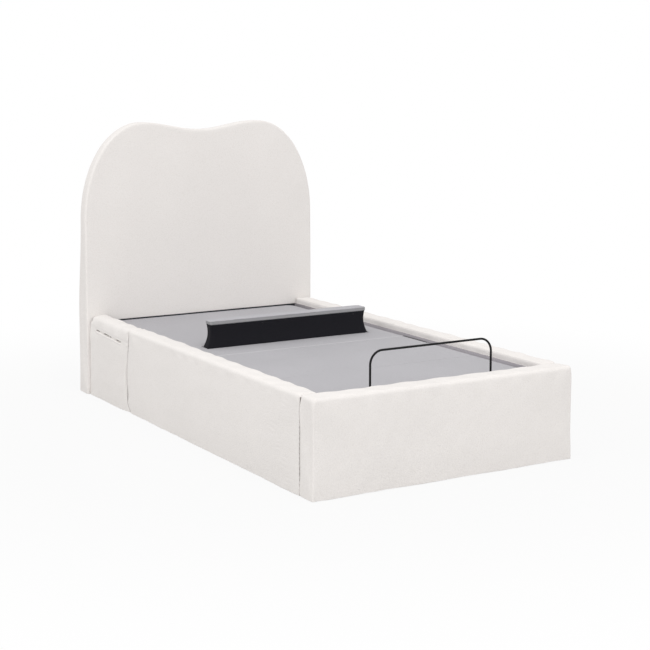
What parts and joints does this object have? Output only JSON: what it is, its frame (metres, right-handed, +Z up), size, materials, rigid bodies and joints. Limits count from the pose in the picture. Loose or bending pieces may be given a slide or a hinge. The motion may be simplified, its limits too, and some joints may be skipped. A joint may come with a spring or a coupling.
{
  "type": "adjustable bed",
  "caption": "Upholstered single adjustable bed: rounded twin-peak headboard, padded rails, side pocket, powered back, thigh and leg sections, and a rising lumbar strip.",
  "frame": {"origin": "on the floor under the middle of the bed's bounding box", "axes": "+Y towards the headboard, +X towards the side without the pocket, +Z up"},
  "size_m": [1.286, 2.289, 1.341],
  "materials": {
    "boucle": "off-white looped upholstery fabric over foam",
    "timber": "raw sheet timber",
    "deck_fabric": "grey woven deck cloth over board",
    "black_stretch": "black stretch cloth",
    "black_steel": "black powder coat",
    "zinc_steel": "zinc plated",
    "black_plastic": "moulded, fine texture"
  },
  "bodies": {
    "root": {"headboard_cover": "boucle", "headboard_board": "timber", "footboard_cover": "boucle", "footboard_board": "timber", "left_rail_cover": "boucle", "left_rail_board": "timber", "pocket_rail_cover": "boucle", "pocket_rail_board": "timber", "side_pocket": "boucle", "right_rail_cover": "boucle", "right_rail_board": "timber", "corner_bracket_foot_left": "black_steel", "corner_bracket_foot_right": "black_steel", "corner_bracket_head_left": "black_steel", "corner_bracket_head_right": "black_steel", "left_rail_joint_plate": "black_steel", "base_side_tube_left": "black_steel", "base_side_tube_right": "black_steel", "base_foot_cross_tube": "black_steel", "base_head_cross_tube": "black_steel", "seat_cross_tube": "black_steel", "centre_cross_tube": "black_steel", "base_leg_foot_left": "black_plastic", "base_leg_foot_right": "black_plastic", "base_leg_head_left": "black_plastic", "base_leg_head_right": "black_plastic", "seat_deck": "deck_fabric", "seat_hinge_bracket_left": "black_steel", "seat_hinge_bracket_right": "black_steel", "head_actuator_housing": "black_plastic", "foot_actuator_housing": "black_plastic", "control_box": "black_plastic", "arm_bearing_left": "black_plastic", "arm_bearing_right": "black_plastic"},
    "back_section": {"back_deck": "deck_fabric", "back_side_tube_left": "black_steel", "back_side_tube_right": "black_steel", "back_head_cross_tube": "black_steel", "back_lever_tube": "black_steel", "back_hinge_plate_left": "zinc_steel", "back_hinge_plate_right": "zinc_steel", "lumbar_cradle": "zinc_steel", "lumbar_actuator": "black_plastic", "lumbar_skirt": "black_stretch"},
    "lumbar_strip": {"lumbar_lift_frame": "zinc_steel", "lumbar_cushion": "deck_fabric"},
    "thigh_section": {"thigh_deck": "deck_fabric", "thigh_hinge_plate_left": "zinc_steel", "thigh_hinge_plate_right": "zinc_steel"},
    "leg_section": {"leg_deck": "deck_fabric", "leg_hinge_plate_left": "zinc_steel", "leg_hinge_plate_right": "zinc_steel", "leg_cross_bracket": "black_steel", "retainer_socket_left": "black_plastic", "retainer_socket_right": "black_plastic"},
    "foot_arms": {"foot_lift_arms": "black_steel"},
    "head_rod": {"head_actuator_rod": "zinc_steel"},
    "foot_rod": {"foot_actuator_rod": "zinc_steel"},
    "retainer": {"retainer_bar": "black_steel"}
  },
  "joints": [
    {"name": "back_hinge", "type": "hinge", "parent": "root", "child": "back_section", "pos_m": [0, -0.04491, 0.352], "axis": [1, 0, 0], "range_deg": [0, 60]},
    {"name": "lumbar_lift", "type": "slide", "parent": "back_section", "child": "lumbar_strip", "axis": [0, 0, 1], "range_m": [-0.127, 0], "deforming": ["lumbar_skirt"]},
    {"name": "thigh_hinge", "type": "hinge", "parent": "root", "child": "thigh_section", "pos_m": [0, -0.24984, 0.352], "axis": [-1, 0, 0], "range_deg": [0, 35]},
    {"name": "knee_hinge", "type": "hinge", "parent": "thigh_section", "child": "leg_section", "pos_m": [0, -0.59979, 0.333], "axis": [1, 0, 0], "range_deg": [0, 35]},
    {"name": "foot_arm_hinge", "type": "hinge", "parent": "root", "child": "foot_arms", "pos_m": [0, -0.61979, 0.2704], "axis": [-1, 0, 0], "range_deg": [0, 35]},
    {"name": "head_rod_slide", "type": "slide", "parent": "root", "child": "head_rod", "axis": [0, 1, 0], "range_m": [0, 0.1617]},
    {"name": "foot_rod_slide", "type": "slide", "parent": "root", "child": "foot_rod", "axis": [0, -1, 0], "range_m": [0, 0.0757]},
    {"name": "retainer_lift", "type": "slide", "parent": "leg_section", "child": "retainer", "axis": [0, 0, 1], "range_m": [0, 0.05]}
  ],
  "couplings": [
    {"joint": "knee_hinge", "follows": "thigh_hinge", "ratio": 1},
    {"joint": "foot_arm_hinge", "follows": "thigh_hinge", "ratio": 1},
    {"joint": "foot_rod_slide", "follows": "thigh_hinge", "m_per_rad": 0.12388},
    {"joint": "head_rod_slide", "follows": "back_hinge", "m_per_rad": 0.15437}
  ]
}
